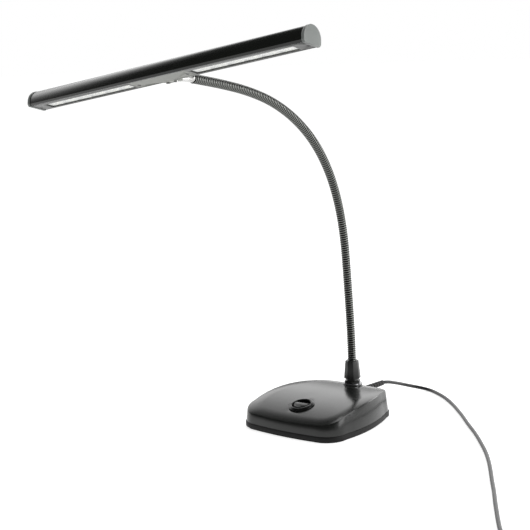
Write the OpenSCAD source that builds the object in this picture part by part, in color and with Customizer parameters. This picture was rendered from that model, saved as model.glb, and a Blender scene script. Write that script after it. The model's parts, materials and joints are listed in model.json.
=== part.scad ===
// Piano lamp: a long light bar on a ribbed flexible neck, with a heavy sloped base,
// a round rocker switch and a cord that ends in a plug-in power supply.
// Millimetres. The origin is under the middle of the base; the front of the base faces -Y.

/* [Base] */
// Width of the base between its front corners
base_front_w = 143; // [125:1:160]
// Width of the base between its rear corners
base_rear_w = 101; // [95:1:125]
// Depth of the base between its front and rear corners
base_d = 141; // [130:1:155]
// Corner radius of the base, seen from above
base_corner_r = 24; // [16:1:30]
// How far the two sides bow outward
side_bow = 6; // [2:0.5:8]
// How far the front and the rear bow outward
end_bow = 2.6; // [1:0.2:4]
// Height of the top at the front edge
base_front_h = 18; // [17:0.5:22]
// Height of the top at the rear edge
base_rear_h = 29; // [28:0.5:33]
// Rise of the top's crown above a straight slope
base_crown = 9.5; // [7:0.5:11]
// Inward lean of the sides for each millimetre of height
side_draft = 0.1; // [0.04:0.01:0.14]
// Wall of the housing
housing_wall = 2.4; // [1.8:0.2:3]
// Rounding of the housing's top edge
top_edge_r = 1.4; // [0.8:0.2:2]
// Thickness of the bottom plate
plate_t = 5.4; // [4:0.2:6]
// Thickness of the foam rubber pad under the bottom plate
pad_t = 1.6; // [1:0.2:2.4]
// How far the pad stays inside the bottom plate's edge
pad_inset = 2; // [1:0.5:4]
// Thickness of the steel weight
weight_t = 5; // [4:0.5:6]
// Thickness of the raised middle of the weight
weight_step_t = 4; // [2:0.5:4.5]
// Gap from the housing wall to the weight
weight_gap = 11; // [10:1:14]

/* [Switch] */
// Distance from the middle of the switch to the front of the base
switch_front = 33.5; // [28.5:1:40.5]
// Outer diameter of the switch's raised rim
switch_rim_d = 29; // [26:1:32]
// Height of the raised rim above the housing
switch_rim_h = 2.6; // [2:0.2:3.4]
// Diameter of the round rocker
rocker_d = 20.6; // [18:0.2:21]
// Slope of each half of the rocker
rocker_slope = 9; // [6:1:11]
// Depth of the switch's body below the housing's skin
switch_depth = 12; // [10:0.5:12]
// Diameter of the rocker's pivot pin
rocker_pin_d = 2.6; // [2:0.2:3]

/* [Neck mount] */
// Distance from the middle of the neck to the rear of the base
gland_back = 13; // [12.5:0.5:16.5]
// Height of the flat seat above the top's skin at the neck
gland_seat_rise = 1.8; // [1.6:0.2:3]
// Diameter of the flat seat
gland_seat_d = 22.5; // [21:0.5:24]
// Thickness of the washer under the neck mount
gland_washer_t = 1.4; // [1:0.2:2]
// Height of the neck mount's six-sided collar
gland_collar_h = 2.6; // [2:0.2:3.4]
// Gap between the collar and the clamp nut
gland_waist_h = 2.7; // [2:0.1:4]
// Outer diameter of the mount's threaded stem
gland_stem_d = 13.4; // [13:0.2:14]
// Height of the clamp nut
nut_h = 20.8; // [18:0.2:23]
// Width over corners at the foot of the clamp nut
nut_foot_d = 19.6; // [18:0.2:21]
// Width over corners at the top of the clamp nut
nut_top_d = 15.6; // [14.8:0.2:17]
// Thickness of the lock nut inside the housing
lock_nut_t = 3; // [2.4:0.2:3]

/* [Neck] */
// Outer diameter of the neck over its ribs
neck_d = 10; // [9.4:0.1:10]
// Depth of the grooves between the ribs
groove_depth = 0.6; // [0.4:0.1:0.7]
// Distance from rib to rib
rib_pitch = 2.6; // [2.4:0.1:2.8]
// Ribs that one jointed length of the neck stands for
ribs_per_length = 16; // [15:1:17]
// Height of the neck from the clamp nut to the first joint
neck_stub = 20; // [16:1:24]
// Diameter of the ball at the foot of each length
ball_d = 7.2; // [7:0.1:7.4]
// Clearance between a ball and its cup
ball_play = 0.08; // [0.05:0.01:0.1]
// Diameter of the stalk that carries the ball
stalk_d = 4.4; // [4:0.1:4.6]
// Diameter of the wire channel through the neck
wire_channel_d = 2.8; // [2:0.2:3]
// Largest bend of one joint
joint_bend = 26; // [20:1:26]

/* [Head bracket] */
// Diameter of the pin that turns in the end of the neck
spigot_d = 6; // [5.6:0.1:6.2]
// Length of that pin
spigot_l = 14; // [12:1:16]
// Turning clearance around that pin
spigot_play = 0.05; // [0.03:0.01:0.1]
// Distance from the end of the neck to the middle of the light bar
head_reach = 44; // [42:1:50]
// Drop from the neck's centre line to the underside of the light bar
head_drop = 6.6; // [6:0.2:8]
// Upward pitch of the light bar against the neck's end
head_pitch = 5.2; // [3:0.1:8]
// Turn of the light bar about the neck's end in this pose
head_twist = 8.6; // [0:0.1:20]
// Upward bend of the head plate's tongue behind the light bar
tongue_bend = 11.5; // [10:0.5:13]
// Width of the tongue
tongue_w = 16; // [14:1:17]
// Length of the tongue behind the light bar
tongue_l = 11; // [9:0.5:13]
// Distance between the two screws in the tongue
tongue_screw_gap = 10; // [8:0.5:11]
// Thickness of the flattened tube
flat_t = 2.2; // [2:0.1:2.6]
// Width of the flattened tube
flat_w = 13; // [11:0.5:14]

/* [Light bar] */
// Length of the light bar with its end caps
bar_l = 370; // [370:2:390]
// Width of the light bar
bar_w = 23.4; // [22.6:0.2:25]
// Height of the light bar
bar_h = 17.4; // [16.6:0.2:19]
// Width of the chamfer along the lower edges
bar_chamfer_w = 1.6; // [1:0.2:2]
// Height of the chamfer along the lower edges
bar_chamfer_h = 2; // [1.4:0.2:2.6]
// Wall of the light bar's housing
bar_wall = 1.4; // [1.2:0.1:1.6]
// Thickness of each end cap
cap_t = 3; // [2:0.5:4]
// How far the end caps stand proud of the housing
cap_proud = 0.4; // [0.4:0.2:1]
// Thickness of the cover strips in the underside
cover_t = 1.6; // [1.2:0.2:2]
// Length of the head plate between the two windows
plate_l = 76; // [72:1:77]
// Distance of the head plate's screws from the middle
plate_screw_x = 32.5; // [30:0.5:33]
// Distance between the two windows
window_gap = 81; // [79:1:82]
// Width of each window
window_w = 11.6; // [11:0.2:12]
// How far the windows lie behind the light bar's middle
window_back = 1.5; // [1:0.1:1.7]
// Number of lights in each window
lights = 6; // [4:1:6]
// Distance from light to light
light_pitch = 21; // [20:0.5:21]
// Length of each reflector cup along the light bar
cup_l = 18.6; // [17:0.2:19]
// Depth of the reflector cups
cup_h = 5.4; // [4:0.2:6]
// Size of a cup's floor as a share of its mouth
cup_taper = 0.45; // [0.3:0.05:0.6]
// Distance from a window's outer end to its cover's screw
outer_screw_out = 12; // [8:0.5:12]
// How far the screws in the underside lie behind the light bar's middle
cover_screw_back = 2; // [0:0.5:5]
// Thickness of the circuit boards
board_t = 1.6; // [1:0.2:2]

/* [Cord] */
// Diameter of the cord
cord_d = 4.2; // [4:0.1:4.6]
// Height of the cord's outlet in the rear wall
outlet_h = 21; // [20.5:0.1:21.4]
// Length of the strain relief outside the housing
relief_l = 46; // [40:1:50]
// Diameter of the strain relief at the housing
relief_d = 8; // [7.4:0.2:8.4]
// Distance between neighbouring turns of the coil
coil_pitch = 4.8; // [4.8:0.1:5.2]
// Radius of the coil at its innermost turn
coil_inner_r = 16.5; // [16:0.5:18]
// Turns in the coil's lower layer
coil_turns = 3.5; // [2.5:1:3.5]

/* [Power supply] */
// Length of the power supply's body
supply_l = 62; // [56:1:70]
// Width of the power supply's body
supply_w = 32; // [30:1:40]
// Height of the power supply's body
supply_h = 27; // [24:1:32]
// Rounding of the power supply's upright edges
supply_r = 5; // [3:0.5:8]
// Diameter of the two contact pins
pin_d = 4; // [3.8:0.1:4.2]
// Distance between the two contact pins
pin_gap = 18.6; // [17.5:0.1:19]
// Length of the two contact pins
pin_l = 19; // [17:0.5:20]

/* [Hidden] */
$fn = 64;

// Tiny overlap that makes one solid of two shapes that share a face
eps = 0.01;
// Clearance between fixed pieces that fit into each other
fit = 0.1;
// Clearance between pieces of different bodies
clear = 0.3;

// Lean of each jointed length of the neck from upright, in this pose
neck_lean = [0, 3, 4, 4.5, 12, 22.5, 35.5, 49.5, 61, 71.5, 78, 80.5];
neck_count = len(neck_lean);

black = [0.1, 0.1, 0.1];
dark = [0.16, 0.16, 0.17];
steel = [0.62, 0.63, 0.65];
white = [0.92, 0.92, 0.9];
board_green = [0.12, 0.33, 0.2];
copper = [0.72, 0.45, 0.2];

// ---------- Base: outline and top surface ----------

seam_z = pad_t + plate_t;

// Share of the way from the front to the rear
function depth_share(y) = (y + base_d / 2) / base_d;

// Height of the crowned top at a depth
function top_z(y) = let (u = depth_share(y))
    base_front_h + (base_rear_h - base_front_h) * u + 4 * base_crown * u * (1 - u);

// Slope of the crowned top at a depth, in degrees
function top_tilt(y) =
    atan((base_rear_h - base_front_h + 4 * base_crown * (1 - 2 * depth_share(y))) / base_d);

function unit(v) = v / norm(v);

// Points of the round corner at b, between the sides that lead to a and c
function corner_points(a, b, c, r, steps) = let (
    to_a = unit(a - b),
    to_c = unit(c - b),
    half = acos(to_a * to_c) / 2,
    centre = b + unit(to_a + to_c) * r / sin(half),
    start = b + to_a * r / tan(half) - centre,
    first = atan2(start[1], start[0]),
    sweep = 180 - 2 * half
) [for (i = [0 : steps]) centre + r * [cos(first + sweep * i / steps), sin(first + sweep * i / steps)]];

// Points between a and b on an edge that bows outward
function bowed_points(a, b, bow, steps) = let (
    along = b - a,
    out = unit([along[1], -along[0]])
) [for (i = [1 : steps - 1]) a + along * i / steps + out * bow * 4 * (i / steps) * (1 - i / steps)];

corner_steps = 8;
edge_steps = 8;
base_bows = [end_bow, side_bow, end_bow, side_bow];

// Outline of the base, drawn in by one amount at the front and another at the rear
function base_outline(front_in, rear_in) = let (
    x1 = base_front_w / 2 - front_in,
    x2 = base_rear_w / 2 - rear_in,
    y1 = -base_d / 2 + front_in,
    y2 = base_d / 2 - rear_in,
    c = [[-x1, y1], [x1, y1], [x2, y2], [-x2, y2]],
    r = max(base_corner_r - (front_in + rear_in) / 4, 3),
    arcs = [for (i = [0 : 3]) corner_points(c[(i + 3) % 4], c[i], c[(i + 1) % 4], r, corner_steps)]
) [for (i = [0 : 3]) let (next = arcs[(i + 1) % 4][0])
    each concat(arcs[i], bowed_points(arcs[i][corner_steps], next, base_bows[i], edge_steps))];

// Ring of the housing's wall, a share of the way from the seam to the top, drawn in and lowered
function wall_ring(share, inset, lower) = let (
    front_in = side_draft * (seam_z + share * (base_front_h - seam_z)) + inset,
    rear_in = side_draft * (seam_z + share * (base_rear_h - seam_z)) + inset
) [for (p = base_outline(front_in, rear_in)) [p[0], p[1], seam_z + share * (top_z(p[1]) - lower - seam_z)]];

// Ring on the crowned top, shrunk towards the middle
function top_ring(scale_by, inset, lower) = [for (p = wall_ring(1, inset, 0))
    let (q = [p[0], p[1]] * scale_by) [q[0], q[1], top_z(q[1]) - lower]];

// Solid skinned over rings that have equally many points
module skin(rings) {
    n = len(rings[0]);
    last = len(rings) - 1;
    low = [for (k = [0 : 2]) [for (p = rings[0]) p[k]] * [for (p = rings[0]) 1] / n];
    high = [for (k = [0 : 2]) [for (p = rings[last]) p[k]] * [for (p = rings[last]) 1] / n];
    points = concat([for (ring = rings) each ring], [low, high]);
    count = n * (last + 1);
    sides = [for (r = [0 : last - 1], i = [0 : n - 1]) let (j = (i + 1) % n)
        each [[r * n + i, (r + 1) * n + j, r * n + j], [r * n + i, (r + 1) * n + i, (r + 1) * n + j]]];
    lids = [for (i = [0 : n - 1]) let (j = (i + 1) % n)
        each [[count, i, j], [count + 1, last * n + j, last * n + i]]];
    polyhedron(points, concat(sides, lids), convexity = 6);
}

top_shrinks = [0.8, 0.6, 0.4, 0.2];

// Outer form of the housing
module housing_form() {
    skin(concat(
        [wall_ring(0, 0, 0), wall_ring(1, 0, top_edge_r)],
        [wall_ring(1, top_edge_r * 0.3, top_edge_r * 0.3), top_ring(1, top_edge_r, 0)],
        [for (s = top_shrinks) top_ring(s, top_edge_r, 0)]));
}

// Hollow of the housing
module housing_hollow() {
    translate([0, 0, -eps])
        skin(concat(
            [wall_ring(0, housing_wall, 0), wall_ring(1, housing_wall, housing_wall)],
            [for (s = top_shrinks) top_ring(s, housing_wall, housing_wall)]));
}

// ---------- Base: pieces ----------

gland_y = base_d / 2 - gland_back;
gland_seat_z = top_z(gland_y) + gland_seat_rise;
gland_boss_h = housing_wall + gland_seat_rise + 1;

screw_d = 3;
screw_head_d = 6;
screw_head_h = 2;
boss_d = 8;
screw_in = 17;

// Places of the four base screws
screw_places = [
    for (side = [-1, 1]) each [
        [side * (base_front_w / 2 - screw_in), screw_in - base_d / 2],
        [side * (base_rear_w / 2 - screw_in), base_d / 2 - screw_in]]];

switch_y = switch_front - base_d / 2;
switch_hole_d = switch_rim_d - 4;

// Frame of the switch: origin on the skin, Z square to it
module at_switch() {
    translate([0, switch_y, top_z(switch_y)]) rotate([top_tilt(switch_y), 0, 0]) children();
}

// Frame of the neck mount: origin on the flat seat
module at_gland() {
    translate([0, gland_y, gland_seat_z]) children();
}

// The cord leaves through the middle of the rear wall
outlet_x = 0;
rear_wall_y = base_d / 2 + end_bow - side_draft * outlet_h;
relief_neck_d = relief_d - 2;
relief_flange_t = 1.5;

// Frame of the cord's outlet: origin on the rear wall, Z straight out
module at_outlet() {
    translate([outlet_x, rear_wall_y, outlet_h]) rotate([-90, 0, 0]) children();
}

module base_housing() {
    color(dark) difference() {
        union() {
            difference() {
                housing_form();
                housing_hollow();
            }
            at_gland() translate([0, 0, -gland_boss_h]) cylinder(d = gland_seat_d, h = gland_boss_h);
            intersection() {
                housing_form();
                for (p = screw_places) translate([p[0], p[1], seam_z])
                    cylinder(d = boss_d, h = base_rear_h + base_crown);
            }
        }
        at_switch() translate([0, 0, -switch_depth]) cylinder(d = switch_hole_d, h = 2 * switch_depth);
        at_gland() {
            translate([0, 0, -gland_boss_h - eps]) cylinder(d = gland_stem_d + 2 * fit, h = gland_boss_h + 1);
            translate([0, 0, -gland_boss_h - lock_nut_t]) cylinder(d = nut_foot_d + 1, h = lock_nut_t);
        }
        at_outlet() translate([0, 0, -housing_wall * 3]) cylinder(d = relief_neck_d, h = housing_wall * 6);
        for (p = screw_places) translate([p[0], p[1], seam_z - eps]) cylinder(d = screw_d, h = 8);
    }
}

module base_plate() {
    color(black) difference() {
        translate([0, 0, pad_t]) linear_extrude(plate_t) polygon(base_outline(0, 0));
        for (p = screw_places) translate([p[0], p[1], pad_t - eps]) {
            cylinder(d = screw_d + 0.4, h = plate_t + 1);
            cylinder(d = screw_head_d + 0.4, h = screw_head_h + 0.2);
        }
    }
}

weight_top_z = seam_z + weight_t + weight_step_t;
weight_step_w = 84;
weight_step_d = 54;
weight_step_y = 12;

module steel_weight() {
    inset = housing_wall + weight_gap;
    color(steel) difference() {
        union() {
            translate([0, 0, seam_z]) linear_extrude(weight_t) polygon(base_outline(inset, inset));
            translate([-weight_step_w / 2, weight_step_y - weight_step_d / 2, seam_z])
                cube([weight_step_w, weight_step_d, weight_t + weight_step_t]);
        }
        for (p = screw_places) translate([p[0], p[1], seam_z - 1]) cylinder(d = boss_d + 1, h = weight_t + 2);
        tab_forms(fit);
    }
}

module foot_pad() {
    color(black) linear_extrude(pad_t) polygon(base_outline(pad_inset, pad_inset));
}

module base_screws() {
    color(steel) for (p = screw_places) translate([p[0], p[1], pad_t]) difference() {
        union() {
            cylinder(d = screw_head_d, h = screw_head_h);
            cylinder(d = screw_d, h = plate_t + 7);
        }
        translate([-0.5, -2, -eps]) cube([1, 4, 1]);
        translate([-2, -0.5, -eps]) cube([4, 1, 1]);
    }
}

// ---------- Switch ----------

rocker_gap = 0.2;
rocker_z = switch_rim_h - 2.4;
rim_opening_d = rocker_d + 2 * rocker_gap;

module switch_rim() {
    color(black) at_switch() rotate_extrude() polygon([
        [rim_opening_d / 2, -1.6],
        [switch_hole_d / 2 - fit, -1.6],
        [switch_hole_d / 2 - fit, 0.2],
        [switch_rim_d / 2, 0.2],
        [switch_rim_d / 2, 0.8],
        [rim_opening_d / 2 + 1.8, switch_rim_h],
        [rim_opening_d / 2 + 0.6, switch_rim_h],
        [rim_opening_d / 2, switch_rim_h - 0.6]]);
}

module switch_body() {
    color(black) at_switch() difference() {
        translate([0, 0, -switch_depth])
            cylinder(d = switch_hole_d - 2 * fit, h = switch_depth - 1.6 - fit);
        translate([0, 0, 1 - switch_depth]) cylinder(d = rim_opening_d, h = rocker_d);
        translate([0, 0, pivot_z]) rotate([0, 90, 0])
            cylinder(d = rocker_pin_d + 0.1, h = rim_opening_d + 2.4, center = true);
    }
}

// Height of the rocker's pivot above the skin
pivot_z = rocker_z - rocker_pin_d / 2 - 2.4;
rocker_r = rocker_d / 2 - rocker_gap / 2;

// Height of the rocker's middle ridge above its pivot
rocker_face = switch_rim_h - pivot_z;
rocker_depth = 2;

// A prism along X from a section in the YZ plane
module along_x(length) {
    rotate([90, 0, 90]) linear_extrude(length, center = true) children();
}

// A round rocker with two sloped halves, turned to one end of its travel
module switch_rocker() {
    fall = rocker_r * tan(rocker_slope);
    color(dark) at_switch() translate([0, 0, pivot_z]) rotate([-rocker_slope, 0, 0]) difference() {
        union() {
            intersection() {
                sphere(r = rocker_r);
                along_x(2 * rocker_d) polygon([
                    [-rocker_r, -rocker_depth], [rocker_r, -rocker_depth], [rocker_r, rocker_face - fall],
                    [0, rocker_face], [-rocker_r, rocker_face - fall]]);
            }
            rotate([0, 90, 0]) cylinder(d = rocker_pin_d, h = rim_opening_d + 2, center = true);
        }
        for (side = [-1, 1], row = [1 : 3]) let (y = 2 + row * 1.6)
            translate([0, side * y, rocker_face - y * tan(rocker_slope)]) rotate([45, 0, 0])
                cube([rocker_d, 0.5, 0.5], center = true);
    }
}

tab_w = 4.8;
tab_t = 0.8;
tab_l = 3.4;

tab_x = 6;

// The switch's two contact tabs, grown by a clearance
module tab_forms(grow) {
    at_switch() for (side = [-1, 1])
        translate([side * tab_x - tab_t / 2 - grow, -tab_w / 2 - grow, -switch_depth - tab_l - grow])
            cube([tab_t + 2 * grow, tab_w + 2 * grow, tab_l + grow]);
}

module switch_tabs() {
    color(copper) tab_forms(0);
}

// ---------- Electronics in the base ----------

base_board = [58, 36];
base_board_y = 13;
pillar_h = 3;
base_board_z = weight_top_z + pillar_h;
pillar_places = [for (sx = [-1, 1], sy = [-1, 1])
    [sx * (base_board[0] / 2 - 4), base_board_y + sy * (base_board[1] / 2 - 4)]];

module driver_board() {
    color(board_green) difference() {
        translate([-base_board[0] / 2, base_board_y - base_board[1] / 2, base_board_z])
            cube([base_board[0], base_board[1], board_t]);
        for (p = pillar_places) translate([p[0], p[1], base_board_z - 1]) cylinder(d = 2.6, h = board_t + 2);
    }
}

module driver_parts() {
    translate([0, base_board_y, base_board_z + board_t]) {
        color("silver") translate([-17, 5, 0]) cylinder(d = 7, h = 5.4);
        color(dark) translate([-2, 3, 0]) cylinder(d = 9, h = 4.4);
        color(black) translate([8, -9, 0]) cube([9, 7, 1.8]);
        color(white) translate([15, 2, 0]) cube([7, 8, 5]);
        color(white) translate([-22, -13, 0]) cube([8, 7, 5]);
    }
}

module board_pillars() {
    color("gold") for (p = pillar_places) translate([p[0], p[1], weight_top_z]) {
        cylinder(d = 5, h = pillar_h);
        cylinder(d = 2.5, h = pillar_h + board_t + 1);
    }
}

wire_r = 0.6;
plug_z = base_board_z + board_t + 4;

// Foot of the switch's tabs, midway between them
tab_foot_l = switch_depth + tab_l;
tab_foot = [0, switch_y + tab_foot_l * sin(top_tilt(switch_y)),
    top_z(switch_y) - tab_foot_l * cos(top_tilt(switch_y))];

// Routes of the wires from the switch and the cord to the circuit board
wire_routes = [
    [[-17, -1.6, plug_z], [-16, -8, 24], [-12, -16, 20], [-8, -20, 17.4],
        tab_foot + [-0.4 - tab_x, 7.7, 2.3], tab_foot + [-tab_x, 2.7, 1.1]],
    [[-21, -1.6, plug_z], [-21, -9, 22], [-10, -16, 17], [0, -20, 15.6],
        tab_foot + [tab_x - 1, 7.7, 1.5], tab_foot + [tab_x, 2.7, 1.1]],
    [[-0.9, 37.6, 21], [1, 34, 22.6], [6, 29, 23.6], [12, 25.4, 23.6], [17, 24.4, 23.6]],
    [[0.9, 37.6, 21], [4, 35, 21.8], [9, 31.6, 22.8], [15, 28, 23.4], [19, 24.6, 23.6]]];

module base_wires() {
    color(black) for (w = wire_routes) wire(w);
}

// A wire swept along a route
module wire(w) {
    tube(w, wire_r, 6, heading(w, 0), heading(w, len(w) - 1));
}

// ---------- Cord outlet ----------

relief_grooves = 7;
relief_tip_d = cord_d + 2;

module strain_relief() {
    inside = housing_wall + 2 * fit;
    color(black) at_outlet() difference() {
        union() {
            translate([0, 0, -inside - relief_flange_t]) cylinder(d = relief_d, h = relief_flange_t);
            translate([0, 0, -inside - eps]) cylinder(d = relief_neck_d - fit, h = inside + 1);
            translate([0, 0, 0.2]) cylinder(d = relief_d, h = 2.4);
            translate([0, 0, 2]) cylinder(d1 = relief_d - 0.6, d2 = relief_tip_d, h = relief_l - 2);
        }
        translate([0, 0, -inside - relief_flange_t - 1]) cylinder(d = cord_d, h = relief_l + inside + 4);
        for (i = [1 : relief_grooves]) translate([0, 0, 3 + i * (relief_l - 4) / (relief_grooves + 1)])
            rotate_extrude() translate([cord_d / 2 + 0.6, 0]) square([relief_d, 1.6]);
    }
}

clamp_y = 42;
clamp_w = 11;

module cord_clamp() {
    floor_z = seam_z + weight_t;
    color(white) difference() {
        translate([outlet_x - clamp_w / 2, clamp_y, floor_z]) cube([clamp_w, 5, outlet_h + 4 - floor_z]);
        translate([outlet_x, clamp_y - 1, outlet_h]) rotate([-90, 0, 0]) cylinder(d = cord_d, h = 7);
    }
}

// ---------- Neck mount ----------

nut_z = gland_washer_t + gland_collar_h + gland_waist_h;
neck_bore_d = neck_d + 2 * fit;
sleeve_d = gland_stem_d;
nut_lip = 3;
stem_top = nut_z + nut_h * 0.55;
stem_foot = -gland_boss_h - lock_nut_t - 1;

module gland_washer() {
    color(steel) at_gland() difference() {
        union() {
            cylinder(d = gland_seat_d - 1.5, h = gland_washer_t);
            translate([0, -2, 0]) cube([gland_seat_d / 2 + 0.6, 4, gland_washer_t]);
        }
        translate([0, 0, -1]) cylinder(d = gland_stem_d + 2 * fit, h = gland_washer_t + 2);
    }
}

module gland_body() {
    color(black) at_gland() difference() {
        union() {
            translate([0, 0, stem_foot]) cylinder(d = gland_stem_d, h = stem_top - stem_foot);
            translate([0, 0, gland_washer_t]) cylinder(d = nut_foot_d, h = gland_collar_h, $fn = 6);
        }
        translate([0, 0, stem_foot - 1]) cylinder(d = neck_bore_d, h = stem_top - stem_foot + 2);
    }
}

module gland_lock_nut() {
    color(steel) at_gland() translate([0, 0, -gland_boss_h - lock_nut_t]) difference() {
        cylinder(d = nut_foot_d - 1, h = lock_nut_t - fit, $fn = 6);
        translate([0, 0, -1]) cylinder(d = gland_stem_d + 2 * fit, h = lock_nut_t + 2);
    }
}

module gland_sleeve() {
    color("dimgray") at_gland() translate([0, 0, stem_top + fit]) difference() {
        cylinder(d = sleeve_d, h = nut_z + nut_h - nut_lip - stem_top - 2 * fit);
        translate([0, 0, -1]) cylinder(d = neck_bore_d, h = nut_h);
    }
}

module clamp_nut() {
    color(black) at_gland() translate([0, 0, nut_z]) difference() {
        cylinder(d1 = nut_foot_d, d2 = nut_top_d, h = nut_h, $fn = 8);
        translate([0, 0, -1]) cylinder(d = neck_bore_d, h = nut_h + 2);
        translate([0, 0, -1]) cylinder(d = gland_stem_d + 2 * fit, h = nut_h - nut_lip + 1);
    }
}

// ---------- Neck ----------

length_pitch = rib_pitch * ribs_per_length;
neck_r = neck_d / 2;
groove_r = neck_r - groove_depth;
rib_w = rib_pitch / 2;
rib_bevel = 0.3;
// The ribs of a length start here, past the gap that lets its foot bend
rib_start = 3.6;
// The cup of a length reaches this far past the ball's centre
cup_lip = 1.45;
cup_r = ball_d / 2 + ball_play;

// Foot of the whole neck, below the first joint
first_joint_z = gland_seat_z + nut_z + nut_h + neck_stub;
neck_foot = -neck_stub - nut_h - nut_z - 4;

// Place of the foot of each length: Y and Z of its joint
function joint_place(i) = i <= 1
    ? [gland_y, first_joint_z]
    : joint_place(i - 1) + length_pitch * [-sin(neck_lean[i - 1]), cos(neck_lean[i - 1])];

// Frame of a length: origin at its lower joint, Z along it, Y on its upper side
module at_length(i) {
    p = joint_place(i);
    translate([0, p[0], p[1]]) rotate([neck_lean[i], 0, 0]) children();
}

// Half profile of ribs from one height up, ending in a groove
function rib_profile(from, count) = [for (k = [0 : count - 1]) let (z = from + k * rib_pitch) each [
    [groove_r, z], [neck_r, z + rib_bevel], [neck_r, z + rib_w - rib_bevel], [groove_r, z + rib_w]]];

// Ribbed tube between two heights
module ribbed_tube(low, rib_from, ribs, high) {
    rotate_extrude() polygon(concat(
        [[0, low], [groove_r, low]], rib_profile(rib_from, ribs), [[groove_r, high], [0, high]]));
}

// Ball and stalk at the foot of a length
module neck_ball() {
    sphere(d = ball_d);
    cylinder(d = stalk_d, h = rib_start + 1);
}

// Space for the next length's ball, at the head of a length
module neck_cup() {
    translate([0, 0, length_pitch]) sphere(r = cup_r);
    translate([0, 0, length_pitch]) cylinder(r = sqrt(cup_r * cup_r - cup_lip * cup_lip), h = 4);
}

module wire_channel() {
    translate([0, 0, -ball_d]) cylinder(d = wire_channel_d, h = length_pitch + 2 * ball_d, $fn = 32);
}

// The clamped foot of the neck, from inside the base to the first joint
module neck_foot_length() {
    ribs = floor(-neck_foot / rib_pitch) - 1;
    color(dark) translate([0, gland_y, first_joint_z]) difference() {
        ribbed_tube(neck_foot, rib_start - (ribs + 1) * rib_pitch, ribs, cup_lip);
        translate([0, 0, -length_pitch]) neck_cup();
        translate([0, 0, neck_foot - 1]) cylinder(d = wire_channel_d, h = -neck_foot + ball_d, $fn = 32);
    }
}

// A length with a ball at its foot and a cup at its head
module neck_length(i) {
    color(dark) at_length(i) difference() {
        union() {
            ribbed_tube(rib_start, rib_start, ribs_per_length - 1, length_pitch + cup_lip);
            neck_ball();
        }
        neck_cup();
        wire_channel();
    }
}

clip_d = spigot_d + 1.2;
clip_t = 1;

// The last length, with a plain end that holds the head's pin
module neck_end_length(i) {
    color(dark) at_length(i) difference() {
        union() {
            ribbed_tube(rib_start, rib_start, ribs_per_length - 1, length_pitch);
            neck_ball();
        }
        wire_channel();
        translate([0, 0, length_pitch - spigot_l]) cylinder(d = spigot_d + 2 * spigot_play, h = spigot_l + 1);
        translate([0, 0, length_pitch - spigot_l - 2.2]) cylinder(d = clip_d + 0.4, h = 2.2 + clear);
    }
}

module neck_segment_01() { neck_foot_length(); }
module neck_segment_02() { neck_length(1); }
module neck_segment_03() { neck_length(2); }
module neck_segment_04() { neck_length(3); }
module neck_segment_05() { neck_length(4); }
module neck_segment_06() { neck_length(5); }
module neck_segment_07() { neck_length(6); }
module neck_segment_08() { neck_length(7); }
module neck_segment_09() { neck_length(8); }
module neck_segment_10() { neck_length(9); }
module neck_segment_11() { neck_length(10); }
module neck_segment_12() { neck_end_length(11); }

// ---------- Head bracket ----------

// Frame of the neck's end, turned with the head: origin at the end, Z along the neck
module at_neck_end() {
    at_length(neck_count - 1) translate([0, 0, length_pitch]) rotate([0, 0, head_twist]) children();
}

// Frame of the light bar: origin at the middle of its underside, X along it, Y to its rear, Z up
module at_bar() {
    at_neck_end() translate([0, -head_drop, head_reach]) rotate([-90 - head_pitch, 0, 0]) children();
}

tube_d = 8.4;
tube_l = 2;

// Frame of the tongue: origin at the light bar's rear lower edge, Y along it to the rear
module at_tongue() {
    at_bar() translate([0, flat_half, 0]) rotate([tongue_bend, 0, 0]) children();
}

// Places of the two screws in the tongue
tongue_screws = [for (side = [-1, 1]) [side * tongue_screw_gap / 2, 4.6]];
tongue_screw_d = 2.6;
flat_start = 2.4;
flat_end = 17;

// The turning pin, the tube's end and its flattened length in one
module head_bracket() {
    color(steel) difference() {
        union() {
            at_neck_end() translate([0, 0, -spigot_l]) cylinder(d = spigot_d, h = spigot_l + clear + 1);
            at_neck_end() translate([0, 0, clear]) cylinder(d = tube_d, h = tube_l);
            hull() {
                at_neck_end() translate([0, 0, clear + tube_l - 0.6])
                    cylinder(d = tube_d - 0.2, h = 0.5, $fn = 20);
                at_tongue() translate([0.1 - flat_w / 2, flat_end - 0.6, cover_t + 0.1])
                    cube([flat_w - 0.2, 0.5, flat_t - 0.2]);
            }
            at_tongue() translate([0, 0, cover_t]) linear_extrude(flat_t) polygon([
                [-tongue_w / 2, flat_start], [tongue_w / 2, flat_start], [tongue_w / 2, flat_start + 6],
                [flat_w / 2, flat_end], [-flat_w / 2, flat_end], [-tongue_w / 2, flat_start + 6]]);
        }
        at_tongue() for (p = tongue_screws) translate([p[0], p[1], cover_t - 1])
            cylinder(d = tongue_screw_d, h = flat_t + 2);
        at_neck_end() translate([0, 0, -spigot_l - clip_t])
            cylinder(d = wire_channel_d, h = spigot_l + tube_l);
    }
}

module swivel_clip() {
    color("silver") at_neck_end() translate([0, 0, -spigot_l - clip_t]) difference() {
        cylinder(d = clip_d, h = clip_t);
        translate([0, 0, -1]) cylinder(d = wire_channel_d, h = clip_t + 2);
    }
}

module tongue_screws() {
    color(steel) at_tongue() for (p = tongue_screws) translate([p[0], p[1], 0]) difference() {
        union() {
            translate([0, 0, -1.2]) cylinder(d = 4.8, h = 1.2);
            translate([0, 0, -eps]) cylinder(d = tongue_screw_d, h = cover_t + flat_t + 1);
        }
        translate([0, 0, -1.2]) cube([3.4, 0.7, 1.2], center = true);
        translate([0, 0, -1.2]) cube([0.7, 3.4, 1.2], center = true);
    }
}

// ---------- Light bar ----------

bar_r = bar_w / 2;
bar_arc_z = bar_h - bar_r;
flat_half = bar_r - bar_chamfer_w;
housing_l = bar_l - 2 * cap_t;
// Half width of the recess that the cover strips lie in
lip_half = flat_half - bar_wall;
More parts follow.
